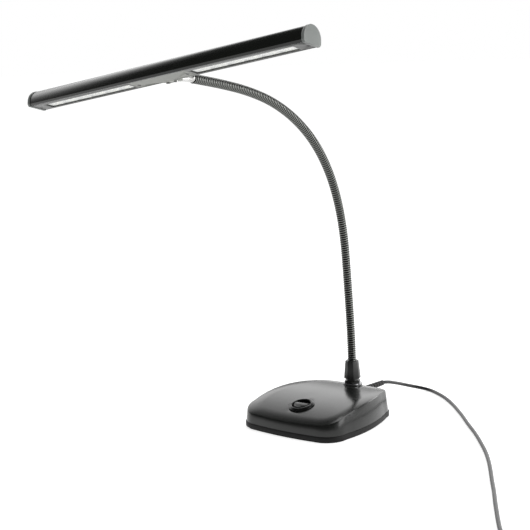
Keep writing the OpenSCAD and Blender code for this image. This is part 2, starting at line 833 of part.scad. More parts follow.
// The strips rest against ledges, and the opening between these is a little narrower
ledge_t = 1.2;
ledge_half = lip_half - 0.8;
tray_half = ledge_half - fit;
tray_z = cover_t + fit;
underside_hole_d = 6.6;
window_start = window_gap / 2;
// Furthest place of a window's outer end, with room for its cover's screw
window_limit = housing_l / 2 - underside_hole_d / 2 - fit - outer_screw_out;
// Centres of the lights on the right-hand side, as many as the light bar has room for
light_places = [for (i = [0 : lights - 1]) let (x = window_start + light_pitch * (i + 0.5))
    if (x + light_pitch / 2 <= window_limit) x];
window_l = len(light_places) * light_pitch;
cover_start = plate_l / 2 + fit;
cover_l = housing_l / 2 - fit - cover_start;
cover_screw_x = window_start + window_l + outer_screw_out;
tray_h = cup_h + 1;
board_z = tray_z + tray_h + fit;

// Section of the light bar, grown or shrunk all round
module bar_section(grow) {
    r = bar_r + grow;
    intersection() {
        translate([0, bar_arc_z]) circle(r = r);
        translate([-r, bar_chamfer_h]) square([2 * r, bar_h]);
    }
    polygon([
        [-flat_half - grow * 0.6, -grow], [flat_half + grow * 0.6, -grow],
        [r, bar_chamfer_h], [r, bar_arc_z], [-r, bar_arc_z], [-r, bar_chamfer_h]]);
}

// A prism along the light bar between two places
module along_bar(from, to) {
    translate([from, 0, 0]) rotate([90, 0, 90]) linear_extrude(to - from) children();
}

// The light bar's frame, mirrored for the left-hand pieces
module at_side(side) {
    at_bar() mirror([side < 0 ? 1 : 0, 0, 0]) children();
}

module bar_housing() {
    color(dark) at_bar() difference() {
        along_bar(-housing_l / 2, housing_l / 2) bar_section(0);
        along_bar(-housing_l / 2 - 1, housing_l / 2 + 1) {
            intersection() {
                bar_section(-bar_wall);
                translate([-bar_w, tray_z + ledge_t]) square([2 * bar_w, bar_h]);
            }
            translate([-ledge_half, -1]) square([2 * ledge_half, tray_z + ledge_t + 2]);
            translate([-lip_half, -1]) square([2 * lip_half, 1 + tray_z]);
        }
        translate([-tongue_w / 2 - fit, 0, -1]) cube([tongue_w + 2 * fit, bar_w, cover_t + 1.6]);
    }
}

module end_cap(side) {
    color("dimgray") at_side(side) {
        along_bar(housing_l / 2, bar_l / 2) bar_section(cap_proud);
        along_bar(housing_l / 2 - 4, housing_l / 2 + eps) intersection() {
            bar_section(-bar_wall - fit);
            translate([-bar_w, board_z + board_t + 1]) square([2 * bar_w, bar_h]);
        }
    }
}

module end_cap_left() { end_cap(-1); }
module end_cap_right() { end_cap(1); }

// Countersunk hole for a screw in the underside
module underside_hole(x) {
    translate([x, cover_screw_back, -1]) {
        cylinder(d = 2.4, h = cover_t + 2);
        cylinder(d1 = underside_hole_d, d2 = 2.4, h = 2.1);
    }
}

// Plate between the windows, with the tongue that leaves the light bar
module head_plate() {
    color(steel) difference() {
        union() {
            at_bar() translate([-plate_l / 2, fit - lip_half, 0])
                cube([plate_l, 2 * (lip_half - fit), cover_t]);
            at_bar() translate([-tongue_w / 2, 0, 0]) cube([tongue_w, flat_half + 0.2, cover_t]);
            at_tongue() translate([-tongue_w / 2, 0, 0]) cube([tongue_w, tongue_l, cover_t]);
        }
        at_bar() for (side = [-1, 1]) underside_hole(side * plate_screw_x);
        at_tongue() for (p = tongue_screws) translate([p[0], p[1], -1])
            cylinder(d = tongue_screw_d, h = cover_t + 2);
    }
}

module bracket_block() {
    color(steel) at_bar() difference() {
        translate([-plate_l / 2 + 1, -tray_half, tray_z]) cube([plate_l - 2, 2 * tray_half, 5]);
        for (side = [-1, 1]) translate([side * plate_screw_x, cover_screw_back, 0]) cylinder(d = 2.3, h = 9);
    }
}

module window_cover(side) {
    color(dark) at_side(side) difference() {
        translate([cover_start, -lip_half + fit, 0]) cube([cover_l, 2 * (lip_half - fit), cover_t]);
        translate([window_start, window_back - window_w / 2, -1]) cube([window_l, window_w, cover_t + 2]);
        underside_hole(cover_screw_x);
    }
}

module window_cover_left() { window_cover(-1); }
module window_cover_right() { window_cover(1); }

cup_w = window_w - 0.4;
mouth_r = 3.6;

// Mouth of a reflector cup
module cup_mouth() {
    translate([mouth_r - cup_l / 2, -cup_w / 2]) square([cup_l - 2 * mouth_r, cup_w]);
    translate([-cup_l / 2, mouth_r - cup_w / 2]) square([cup_l, cup_w - 2 * mouth_r]);
    for (sx = [-1, 1], sy = [-1, 1])
        translate([sx * (cup_l / 2 - mouth_r), sy * (cup_w / 2 - mouth_r)]) circle(r = mouth_r, $fn = 24);
}

module reflector(side) {
    color(white) at_side(side) difference() {
        translate([cover_start + 1, -tray_half, tray_z]) cube([cover_l - 2, 2 * tray_half, tray_h]);
        for (x = light_places) translate([x, window_back, tray_z - eps]) {
            linear_extrude(cup_h, scale = cup_taper) cup_mouth();
            translate([0, 0, cup_h - 1]) cylinder(d = 4.6, h = 4);
        }
        translate([cover_screw_x, cover_screw_back, tray_z - 1]) cylinder(d = 2.3, h = 5);
    }
}

module reflector_left() { reflector(-1); }
module reflector_right() { reflector(1); }

module light_board(side) {
    color(board_green) at_side(side) translate([cover_start + 2, -tray_half - 1, board_z])
        cube([cover_l - 7, 2 * tray_half + 2, board_t]);
}

module light_board_left() { light_board(-1); }
module light_board_right() { light_board(1); }

module light_row(side) {
    color("gold") at_side(side) for (x = light_places) translate([x, window_back, board_z - 1]) {
        translate([-1.4, -1.4, 0]) cube([2.8, 2.8, 1]);
        translate([0, 0, -0.7]) cylinder(d1 = 1.6, d2 = 2.6, h = 0.7 + eps, $fn = 24);
    }
}

module lights_left() { light_row(-1); }
module lights_right() { light_row(1); }

underside_screws = [-cover_screw_x, -plate_screw_x, plate_screw_x, cover_screw_x];

module underside_screws() {
    color(steel) at_bar() for (x = underside_screws) translate([x, cover_screw_back, 0]) difference() {
        union() {
            cylinder(d1 = 4.2, d2 = 2.2, h = 1);
            cylinder(d = 2.2, h = cover_t + 3.6);
        }
        translate([-1.3, -0.3, -eps]) cube([2.6, 0.6, 0.7]);
        translate([-0.3, -1.3, -eps]) cube([0.6, 2.6, 0.7]);
    }
}

// ---------- Cord ----------

cord_r = cord_d / 2;
// The cord's centre line where it lies on the table
lie_z = 2.2;

// The route from inside the base, through the strain relief, to the coil
cord_route = [
    [0, 38, 21], [0, 54, 21], [0, 71, 21], [0, 87, 21], [0, 103, 21], [0, 117, 21],
    [0.4, 124, 20.3], [1, 131, 18.8], [1.4, 142, 15.6], [1.8, 152, 12.4], [3.4, 162, 9], [7.4, 170.6, 6],
    [13.8, 176.8, 3.8], [21.6, 178.8, 2.6], [31, 176.6, lie_z], [43, 170, lie_z], [57, 161, lie_z],
    [71, 150, lie_z],
    [91, 132, lie_z], [119, 104, lie_z], [145, 76, lie_z], [170, 50, lie_z], [193, 24, lie_z],
    [214, -1, lie_z], [233, -26, lie_z], [251, -52, lie_z], [269, -79, lie_z], [286, -104, lie_z],
    [303, -130, lie_z], [319, -154, lie_z], [334, -176, lie_z], [348, -195, lie_z], [362, -208, 2.4],
    [378, -215, 2.8], [395, -216, 3.2], [412, -216, 3.2]];

cord_sides = 8;
coil_sides = 6;
coil_rings = 24;

// Point between the second and third of four, on a smooth curve through them
function between(a, b, c, d) = (9 * (b + c) - a - d) / 16;

// A path with one more point between each two
function refined(p) = let (last = len(p) - 1) [for (i = [0 : last])
    each i == last ? [p[i]] : [p[i], between(p[max(i - 1, 0)], p[i], p[i + 1], p[min(i + 2, last)])]];

// Direction of a path at one of its points
function heading(path, i) = unit(path[min(i + 1, len(path) - 1)] - path[max(i - 1, 0)]);

// Ring of a tube around a point, square to a direction
function tube_ring(p, r, sides, dir) = let (
    side = unit(cross(dir, [0, 0, 1])),
    up = cross(side, dir)
) [for (k = [0 : sides - 1]) let (a = 360 * (k + 0.5) / sides) p + r * (side * cos(a) + up * sin(a))];

// Tube along a path, with square ends in given directions
module tube(path, r, sides, first_dir, last_dir) {
    last = len(path) - 1;
    skin([for (i = [0 : last]) let (dir = i == 0 ? first_dir : i == last ? last_dir : heading(path, i))
        tube_ring(path[i], r, sides, dir)]);
}

// The coil: in along the lower layer and out along the upper one, with a straight piece at each end
coil_outer_r = coil_inner_r + coil_turns * coil_pitch;
coil_start = cord_route[len(cord_route) - 1];
coil_dir = unit(coil_start - cord_route[len(cord_route) - 2]);
coil_side = [-coil_dir[1], coil_dir[0], 0];
coil_centre = coil_start + coil_dir * cord_d + coil_side * coil_outer_r;
coil_from = atan2(-coil_side[1], -coil_side[0]);
layer_rise = cord_d + 0.7;
// Part of a turn in which the cord climbs to the upper layer
climb = 0.5;
// The upper layer ends a quarter turn late, so that the cord leaves towards the rear
coil_total = 2 * coil_turns + 0.25;

// Angle, radius and height of the coil after some turns
function coil_angle(t) = coil_from + 360 * t;
function coil_radius(t) = coil_inner_r + coil_pitch * abs(t - coil_turns);
function coil_height(t) = let (s = min(max((t - coil_turns) / climb + 0.5, 0), 1))
    layer_rise * s * s * (3 - 2 * s);
function coil_point(t) = let (a = coil_angle(t))
    coil_centre + [coil_radius(t) * cos(a), coil_radius(t) * sin(a), coil_height(t)];

coil_last = coil_point(coil_total);
coil_end_dir = [-sin(coil_angle(coil_total)), cos(coil_angle(coil_total)), 0];
coil_end = coil_last + coil_end_dir * cord_d;
coil_turned = [for (i = [0 : coil_total * coil_rings]) coil_point(i / coil_rings)];
coil_path = concat([coil_start], coil_turned, [coil_end]);

// Least distance between turns that aren't neighbours on the path, less the cord's thickness
coil_gap = min([for (i = [0 : len(coil_path) - 1])
    for (j = [i + 8 : 1 : len(coil_path) - 1]) norm(coil_path[i] - coil_path[j])]) - cord_d;
echo(coil_gap = coil_gap);

module power_cord() {
    color(dark) tube(refined(cord_route), cord_r, cord_sides, [0, 1, 0], coil_dir);
}

module cord_coil() {
    color(dark) tube(coil_path, cord_r, coil_sides, coil_dir, coil_end_dir);
}

// The short end from the coil to the power supply
supply_cord_z = supply_h / 2;
supply_relief_l = 16;
tail_l = 46;
tail_path = [for (i = [0 : 9]) let (s = i / 9, e = s * s * (3 - 2 * s))
    coil_end + coil_end_dir * tail_l * s + [0, 0, (supply_cord_z - coil_end[2]) * e]];
supply_place = coil_end + coil_end_dir * (tail_l + supply_relief_l);

// Frame of the power supply: origin on the table under its cord end, X away from the coil
module at_supply() {
    translate([supply_place[0], supply_place[1], 0])
        rotate([0, 0, atan2(coil_end_dir[1], coil_end_dir[0])]) children();
}

module cord_tail() {
    color(dark) tube(tail_path, cord_r, cord_sides, coil_end_dir, coil_end_dir);
}

tie_turn = 0.5;
tie_w = 5;
tie_t = 1;

// A strap round the turns on one side of the coil
module cord_tie() {
    inner = coil_inner_r - cord_r - clear;
    outer = coil_radius(tie_turn) + cord_r + clear;
    top = coil_start[2] + layer_rise + cord_r + clear;
    color(black) translate([coil_centre[0], coil_centre[1], 0]) rotate([0, 0, coil_angle(tie_turn)])
        difference() {
            translate([inner - tie_t, -tie_w / 2, 0]) cube([outer - inner + 2 * tie_t, tie_w, top + tie_t]);
            translate([inner, -tie_w, tie_t]) cube([outer - inner, 2 * tie_w, top - tie_t]);
        }
}

// ---------- Power supply ----------

lid_t = 4;

module supply_block(from_z, to_z) {
    translate([0, -supply_w / 2, from_z]) linear_extrude(to_z - from_z) union() {
        translate([supply_r, 0]) square([supply_l - 2 * supply_r, supply_w]);
        translate([0, supply_r]) square([supply_l, supply_w - 2 * supply_r]);
        for (x = [supply_r, supply_l - supply_r], y = [supply_r, supply_w - supply_r])
            translate([x, y]) circle(r = supply_r);
    }
}

module supply_body() {
    color(black) at_supply() difference() {
        supply_block(0, supply_h - lid_t);
        translate([-1, 0, supply_cord_z]) rotate([0, 90, 0]) cylinder(d = relief_neck_d, h = 6);
    }
}

module supply_lid() {
    color(black) at_supply() supply_block(supply_h - lid_t, supply_h);
}

module supply_pins() {
    color("silver") at_supply() for (side = [-1, 1])
        translate([supply_l * 0.6, side * pin_gap / 2, supply_h]) {
        cylinder(d = pin_d, h = pin_l - pin_d / 2);
        translate([0, 0, pin_l - pin_d / 2]) sphere(d = pin_d);
    }
}

module supply_relief() {
    color(black) at_supply() translate([-supply_relief_l, 0, supply_cord_z]) rotate([0, 90, 0]) difference() {
        union() {
            cylinder(d1 = cord_d + 1.4, d2 = relief_d, h = supply_relief_l);
            cylinder(d = relief_neck_d - fit, h = supply_relief_l + 4);
        }
        for (i = [1 : 3]) translate([0, 0, i * supply_relief_l / 4.5])
            rotate_extrude() translate([cord_d / 2 + 0.7, 0]) square([relief_d, 1.2]);
    }
}

base_housing();
base_plate();
steel_weight();
foot_pad();
base_screws();
switch_rim();
switch_body();
switch_rocker();
switch_tabs();
driver_board();
driver_parts();
board_pillars();
base_wires();
strain_relief();
cord_clamp();
gland_washer();
gland_body();
gland_lock_nut();
gland_sleeve();
clamp_nut();
neck_segment_01();
neck_segment_02();
neck_segment_03();
neck_segment_04();
neck_segment_05();
neck_segment_06();
neck_segment_07();
neck_segment_08();
neck_segment_09();
neck_segment_10();
neck_segment_11();
neck_segment_12();
head_bracket();
swivel_clip();
head_plate();
tongue_screws();
bracket_block();
bar_housing();
end_cap_left();
end_cap_right();
window_cover_left();
window_cover_right();
reflector_left();
reflector_right();
light_board_left();
light_board_right();
lights_left();
lights_right();
underside_screws();
power_cord();
cord_coil();
cord_tail();
cord_tie();
supply_body();
supply_lid();
supply_pins();
supply_relief();
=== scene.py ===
"""Looks of the piano lamp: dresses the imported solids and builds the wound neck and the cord.

All sizes are in metres, in the part's own frame: +Z up, -Y to the light bar, origin on the table.
"""

import json
import logging
import math
from dataclasses import dataclass, field
from enum import Enum

import bmesh  # noqa: E402
import bpy  # noqa: E402
from mathutils import Matrix, Vector  # noqa: E402


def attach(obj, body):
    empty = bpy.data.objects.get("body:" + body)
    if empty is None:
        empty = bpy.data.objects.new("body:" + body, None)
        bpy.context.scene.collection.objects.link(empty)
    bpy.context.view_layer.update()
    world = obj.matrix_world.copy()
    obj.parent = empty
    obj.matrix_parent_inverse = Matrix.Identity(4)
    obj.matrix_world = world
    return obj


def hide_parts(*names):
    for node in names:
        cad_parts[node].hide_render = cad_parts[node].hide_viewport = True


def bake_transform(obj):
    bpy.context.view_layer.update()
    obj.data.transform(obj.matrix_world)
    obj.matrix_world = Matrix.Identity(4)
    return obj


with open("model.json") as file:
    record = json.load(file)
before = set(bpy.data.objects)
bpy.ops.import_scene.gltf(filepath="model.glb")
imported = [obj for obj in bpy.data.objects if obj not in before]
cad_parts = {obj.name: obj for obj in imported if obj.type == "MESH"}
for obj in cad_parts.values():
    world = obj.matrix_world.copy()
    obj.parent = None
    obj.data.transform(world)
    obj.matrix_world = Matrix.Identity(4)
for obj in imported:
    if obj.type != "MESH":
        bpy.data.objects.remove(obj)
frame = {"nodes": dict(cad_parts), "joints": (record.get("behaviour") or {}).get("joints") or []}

LOG = logging.getLogger("piano_lamp")
MM = 0.001
COAT_ROUGHNESS = 0.08
BUMP_STRENGTH = 0.6
WELD_DISTANCE = 0.002 * MM
CREASE_ANGLE = math.radians(30)
ROUNDED_ANGLE = math.radians(35)

Color = tuple[float, float, float]
Point = tuple[float, float, float]


# ---------- Shader groups ----------


class Coordinates(Enum):
    """Which way a texture is stretched."""

    EVEN = (1.0, 1.0, 1.0)
    ALONG_X = (0.04, 1.0, 1.0)
    ALONG_Y = (1.0, 0.04, 1.0)


class ShaderGroup:
    """A node group with named sockets that several finishes use."""

    made: dict[str, bpy.types.NodeTree] = {}

    def __init__(self, name: str) -> None:
        """Starts an empty group.

        Args:
            name: The group's name.
        """
        self.tree = bpy.data.node_groups.new(name, "ShaderNodeTree")
        self.inside = self.tree.nodes.new("NodeGroupInput")
        self.outside = self.tree.nodes.new("NodeGroupOutput")
        ShaderGroup.made[name] = self.tree

    def socket(self, name: str, kind: str, default: object = None, output: bool = False) -> None:
        """Adds a socket to the group.

        Args:
            name: The socket's name.
            kind: Float, Color or Vector.
            default: The value that it has when nothing is linked.
            output: Whether it is an output.
        """
        made = self.tree.interface.new_socket(
            name, in_out="OUTPUT" if output else "INPUT", socket_type=f"NodeSocket{kind}"
        )
        if default is not None:
            made.default_value = default

    def node(self, kind: str, **settings: object) -> bpy.types.Node:
        """Adds a node to the group.

        Args:
            kind: The node's type, without the prefix ShaderNode.
            **settings: Properties of the node, or defaults of its inputs by name.

        Returns:
            The node.
        """
        return add_node(self.tree, kind, **settings)

    def link(self, start: bpy.types.NodeSocket, end: bpy.types.NodeSocket) -> None:
        """Links two sockets."""
        self.tree.links.new(start, end)


def add_node(tree: bpy.types.NodeTree, kind: str, **settings: object) -> bpy.types.Node:
    """Adds a shader node.

    Args:
        tree: The tree that it goes into.
        kind: The node's type, without the prefix ShaderNode.
        **settings: Properties of the node, or defaults of its inputs, with _ for a space.

    Returns:
        The node.
    """
    made = tree.nodes.new(f"ShaderNode{kind}")
    for name, value in settings.items():
        if hasattr(made, name):
            setattr(made, name, value)
        else:
            made.inputs[name.replace("_", " ")].default_value = value
    return made


def stretched_position(group: ShaderGroup) -> bpy.types.NodeSocket:
    """The object's own coordinates, times the group's inputs Stretch and Scale."""
    place = group.node("TexCoord")
    stretch = group.node("VectorMath", operation="MULTIPLY")
    scale = group.node("VectorMath", operation="SCALE")
    group.link(place.outputs["Object"], stretch.inputs[0])
    group.link(group.inside.outputs["Stretch"], stretch.inputs[1])
    group.link(stretch.outputs[0], scale.inputs[0])
    group.link(group.inside.outputs["Scale"], scale.inputs["Scale"])
    return scale.outputs[0]


def make_grain_group() -> bpy.types.NodeTree:
    """Fine grain of a moulded, painted or drawn surface.

    Returns:
        A group that puts out a colour, a roughness and a height.
    """
    group = ShaderGroup("surface_grain")
    group.socket("Color", "Color", (0.1, 0.1, 0.1, 1.0))
    group.socket("Roughness", "Float", 0.4)
    group.socket("Scale", "Float", 2500.0)
    group.socket("Stretch", "Vector", (1.0, 1.0, 1.0))
    group.socket("Variation", "Float", 0.1)
    group.socket("Color", "Color", output=True)
    group.socket("Roughness", "Float", output=True)
    group.socket("Height", "Float", output=True)
    place = stretched_position(group)
    fine = group.node("TexNoise", Scale=1.0, Detail=3.0, Roughness=0.6)
    broad = group.node("TexNoise", Scale=0.012, Detail=4.0, Roughness=0.5)
    group.link(place, fine.inputs["Vector"])
    group.link(place, broad.inputs["Vector"])
    around_zero = group.node("Math", operation="SUBTRACT")
    around_zero.inputs[1].default_value = 0.5
    group.link(broad.outputs["Fac"], around_zero.inputs[0])
    swing = group.node("Math", operation="MULTIPLY")
    group.link(around_zero.outputs[0], swing.inputs[0])
    group.link(group.inside.outputs["Variation"], swing.inputs[1])
    factor = group.node("Math", operation="MULTIPLY_ADD")
    factor.inputs[1].default_value = 4.0
    factor.inputs[2].default_value = 1.0
    group.link(swing.outputs[0], factor.inputs[0])
    tinted = group.node("VectorMath", operation="SCALE")
    group.link(group.inside.outputs["Color"], tinted.inputs[0])
    group.link(factor.outputs[0], tinted.inputs["Scale"])
    rough = group.node("Math", operation="ADD", use_clamp=True)
    group.link(group.inside.outputs["Roughness"], rough.inputs[0])
    group.link(swing.outputs[0], rough.inputs[1])
    group.link(tinted.outputs[0], group.outside.inputs["Color"])
    group.link(rough.outputs[0], group.outside.inputs["Roughness"])
    group.link(fine.outputs["Fac"], group.outside.inputs["Height"])
    return group.tree


def make_wear_group() -> bpy.types.NodeTree:
    """Edges and ribs that handling has worn a little brighter.

    Returns:
        A group that puts out a mask, 1 where the finish is worn.
    """
    group = ShaderGroup("edge_wear")
    group.socket("Scale", "Float", 300.0)
    group.socket("Stretch", "Vector", (1.0, 1.0, 1.0))
    group.socket("Amount", "Float", 0.3)
    group.socket("Mask", "Float", output=True)
    place = stretched_position(group)
    patches = group.node("TexNoise", Scale=1.0, Detail=5.0)
    group.link(place, patches.inputs["Vector"])
    shape = group.node("NewGeometry")
    edges = group.node("MapRange", From_Min=0.52, From_Max=0.62)
    group.link(shape.outputs["Pointiness"], edges.inputs["Value"])
    broken = group.node("Math", operation="MULTIPLY")
    group.link(edges.outputs[0], broken.inputs[0])
    group.link(patches.outputs["Fac"], broken.inputs[1])
    amount = group.node("Math", operation="MULTIPLY", use_clamp=True)
    group.link(broken.outputs[0], amount.inputs[0])
    group.link(group.inside.outputs["Amount"], amount.inputs[1])
    group.link(amount.outputs[0], group.outside.inputs["Mask"])
    return group.tree


# ---------- Finishes ----------


@dataclass(frozen=True)
class Finish:
    """How one kind of surface of the lamp looks.

    The worn colour shows where a mesh attribute says so, or else on worn edges. On the neck the attribute marks the rib
    crests, and the lighter colour there is a painted highlight; on the other finishes it is real rubbing of edges.
    """

    name: str
    slot: str
    color: Color
    roughness: float
    metallic: float = 0.0
    ior: float = 1.45
    coat: float = 0.0
    grain: float = 2500.0
    stretch: Coordinates = Coordinates.EVEN
    depth: float = 0.02 * MM
    variation: float = 0.08
    wear_and_highlight: float = 0.0
    worn_and_highlight_color: Color = (0.3, 0.3, 0.3)
    highlight_mask: str = ""
    glow: float = 0.0

    def material(self) -> bpy.types.Material:
        """The material with this finish, made once.

        Returns:
            The material.
        """
        known = bpy.data.materials.get(self.name)
        if known is not None:
            return known
        made = bpy.data.materials.new(self.name)
        made.use_nodes = True
        tree = made.node_tree
        shader = tree.nodes["Principled BSDF"]
        shader.inputs["Metallic"].default_value = self.metallic
        shader.inputs["IOR"].default_value = self.ior
        shader.inputs["Coat Weight"].default_value = self.coat
        shader.inputs["Coat Roughness"].default_value = COAT_ROUGHNESS
        grain = add_node(tree, "Group", node_tree=ShaderGroup.made["surface_grain"])
        grain.inputs["Color"].default_value = (*self.color, 1.0)
        grain.inputs["Roughness"].default_value = self.roughness
        grain.inputs["Scale"].default_value = self.grain
        grain.inputs["Stretch"].default_value = self.stretch.value
        grain.inputs["Variation"].default_value = self.variation
        bump = add_node(tree, "Bump", Strength=BUMP_STRENGTH, Distance=self.depth)
        tree.links.new(grain.outputs["Height"], bump.inputs["Height"])
        tree.links.new(bump.outputs["Normal"], shader.inputs["Normal"])
        tree.links.new(grain.outputs["Roughness"], shader.inputs["Roughness"])
        color = grain.outputs["Color"]
        # The worn colour is real rubbing on worn edges, except where a mesh attribute mask is given: on the neck's rib
        # crests it is a painted highlight.
        if self.wear_and_highlight > 0.0:
            wear_and_highlight_mix = add_node(tree, "Mix", data_type="RGBA")
            wear_and_highlight_mix.inputs[7].default_value = (*self.worn_and_highlight_color, 1.0)
            if self.highlight_mask:
                mask = add_node(tree, "Attribute", attribute_name=self.highlight_mask)
                tree.links.new(mask.outputs["Fac"], wear_and_highlight_mix.inputs[0])
            else:
                wear_and_highlight = add_node(tree, "Group", node_tree=ShaderGroup.made["edge_wear"])
                wear_and_highlight.inputs["Amount"].default_value = self.wear_and_highlight
                tree.links.new(wear_and_highlight.outputs["Mask"], wear_and_highlight_mix.inputs[0])
            tree.links.new(color, wear_and_highlight_mix.inputs[6])
            color = wear_and_highlight_mix.outputs[2]
        tree.links.new(color, shader.inputs["Base Color"])
        # Emission: on the light faces it is the LEDs' own light; on the reflectors it is painted glow.
        if self.glow > 0.0:
            tree.links.new(color, shader.inputs["Emission Color"])
            shader.inputs["Emission Strength"].default_value = self.glow
        return made


HOUSING = Finish("moulded_housing", "housing_black", (0.010, 0.011, 0.010), 0.21, grain=2200.0, depth=0.012 * MM,
                 variation=0.05, wear_and_highlight=0.12, worn_and_highlight_color=(0.05, 0.05, 0.05))
PLATE_PAINT = Finish("painted_plate", "plate_black", (0.005, 0.005, 0.005), 0.5, ior=1.3, grain=1800.0, depth=0.03 * MM)
PAD = Finish("foam_pad", "rubber_black", (0.012, 0.012, 0.012), 0.9, grain=1500.0, depth=0.12 * MM, variation=0.15)
ROCKER = Finish("switch_plastic", "black_plastic", (0.004, 0.004, 0.004), 0.28, ior=1.35, grain=3000.0, depth=0.01 * MM)
NUT = Finish("gland_plastic", "black_plastic", (0.012, 0.013, 0.012), 0.36, grain=2000.0, depth=0.02 * MM)
# The neck's worn colour is a painted highlight: a lighter band painted along every rib crest, where light would catch
# it, not rubbing.
WINDING = Finish("neck_steel", "neck_metal", (0.012, 0.013, 0.012), 0.26, metallic=1.0, grain=1500.0,
                 depth=0.008 * MM, variation=0.1, wear_and_highlight=1.0, worn_and_highlight_color=(0.20, 0.205, 0.195), highlight_mask="rib_crest_highlight")
BAR = Finish("bar_anodised", "bar_black", (0.010, 0.0115, 0.0095), 0.24, grain=2600.0, stretch=Coordinates.ALONG_X,
             depth=0.006 * MM, variation=0.05)
CAP = Finish("cap_satin", "bar_grey", (0.21, 0.225, 0.215), 0.4, grain=2400.0, depth=0.02 * MM)
COVER = Finish("cover_satin", "bar_grey", (0.07, 0.073, 0.07), 0.34, grain=2400.0, depth=0.015 * MM)
TONGUE = Finish("tongue_satin", "tongue_grey", (0.24, 0.25, 0.22), 0.36, grain=2000.0, depth=0.015 * MM)
BRIGHT = Finish("bright_plating", "bright_steel", (0.46, 0.46, 0.45), 0.2, metallic=1.0, grain=1600.0,
                depth=0.006 * MM, variation=0.12)
ZINC = Finish("zinc_plating", "zinc_steel", (0.42, 0.42, 0.43), 0.34, metallic=1.0, grain=1800.0, variation=0.3)
DARK_SCREW = Finish("blackened_screw", "zinc_steel", (0.06, 0.06, 0.06), 0.4, metallic=1.0, variation=0.3)
WEIGHT = Finish("raw_steel", "weight_steel", (0.35, 0.34, 0.33), 0.45, metallic=1.0, variation=0.4)
# The reflectors' glow is painted light: the white cups give off light of their own, as if lit by the LEDs, though they
# are no lamp.
REFLECTOR_WITH_PAINTED_GLOW = Finish("reflector_white_painted_glow", "white_plastic", (0.88, 0.89, 0.88), 0.22, grain=2600.0,
                      depth=0.008 * MM, variation=0.03, glow=0.25)
WHITE_PART = Finish("white_nylon", "white_plastic", (0.8, 0.8, 0.78), 0.5)
LAMINATE = Finish("board_laminate", "board", (0.03, 0.16, 0.08), 0.4, variation=0.3)
BRASS = Finish("turned_brass", "brass_parts", (0.72, 0.52, 0.24), 0.3, metallic=1.0, variation=0.3)
PHOSPHOR = Finish("light_face", "light_yellow", (1.0, 0.94, 0.78), 0.4, variation=0.03, glow=4.0)
JACKET = Finish("cord_jacket", "cord_black", (0.016, 0.016, 0.017), 0.36, grain=1800.0, depth=0.01 * MM,
                variation=0.12)
RELIEF = Finish("relief_rubber", "rubber_black", (0.014, 0.014, 0.014), 0.55, grain=1800.0, depth=0.03 * MM)
STRAP = Finish("strap_fabric", "black_plastic", (0.014, 0.014, 0.015), 0.85, grain=1400.0, depth=0.25 * MM,
               variation=0.3)
SUPPLY = Finish("supply_shell", "black_plastic", (0.018, 0.018, 0.018), 0.48, grain=1300.0, depth=0.05 * MM,
                wear_and_highlight=0.3, worn_and_highlight_color=(0.05, 0.05, 0.05))


# ---------- Solids ----------


def make_crisp_group() -> bpy.types.NodeTree:
    """A modifier group that shades faces smooth and keeps edges over 30 degrees sharp.

    Returns:
        The geometry node group.
    """
    tree = bpy.data.node_groups.new("crisp_edges", "GeometryNodeTree")
    tree.interface.new_socket("Geometry", in_out="INPUT", socket_type="NodeSocketGeometry")
    tree.interface.new_socket("Geometry", in_out="OUTPUT", socket_type="NodeSocketGeometry")
    start = tree.nodes.new("NodeGroupInput")
    end = tree.nodes.new("NodeGroupOutput")
    angle = tree.nodes.new("GeometryNodeInputMeshEdgeAngle")
    sharp = tree.nodes.new("FunctionNodeCompare")
    sharp.operation = "GREATER_THAN"
    sharp.inputs[1].default_value = CREASE_ANGLE
    faces = tree.nodes.new("GeometryNodeSetShadeSmooth")
    faces.domain = "FACE"
    edges = tree.nodes.new("GeometryNodeSetShadeSmooth")
    edges.domain = "EDGE"
    edges.inputs["Shade Smooth"].default_value = False
    tree.links.new(start.outputs[0], faces.inputs["Geometry"])
    tree.links.new(faces.outputs[0], edges.inputs["Geometry"])
    tree.links.new(angle.outputs["Unsigned Angle"], sharp.inputs[0])
    tree.links.new(sharp.outputs[0], edges.inputs["Selection"])
    tree.links.new(edges.outputs[0], end.inputs[0])
    return tree


@dataclass
class Solids:
    """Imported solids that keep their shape, with their finish and the rounding of their edges."""

    finish: Finish
    nodes: list[str]
    rounding: float = 0.0
    steps: int = 2

    def dress(self, crisp: bpy.types.NodeTree) -> None:
        """Gives each solid its material, its rounded edges and smooth shading.

        Args:
            crisp: The group that keeps the sharp edges sharp.
        """
        for name in self.nodes:
            solid = frame["nodes"][name]
            solid.data.materials.clear()
            solid.data.materials.append(self.finish.material())
            if "custom_normal" in solid.data.attributes:
                solid.data.attributes.remove(solid.data.attributes["custom_normal"])
            weld = solid.modifiers.new("weld", "WELD")
            weld.merge_threshold = WELD_DISTANCE
            if self.rounding > 0.0:
                bevel = solid.modifiers.new("rounding", "BEVEL")
                bevel.width = self.rounding
                bevel.segments = self.steps
                bevel.limit_method = "ANGLE"
                bevel.angle_limit = ROUNDED_ANGLE
                bevel.miter_outer = "MITER_ARC"
            shading = solid.modifiers.new("crisp", "NODES")
            shading.node_group = crisp
        LOG.info("dressed %s with %s", ", ".join(self.nodes), self.finish.name)


# ---------- Camera and studio ----------


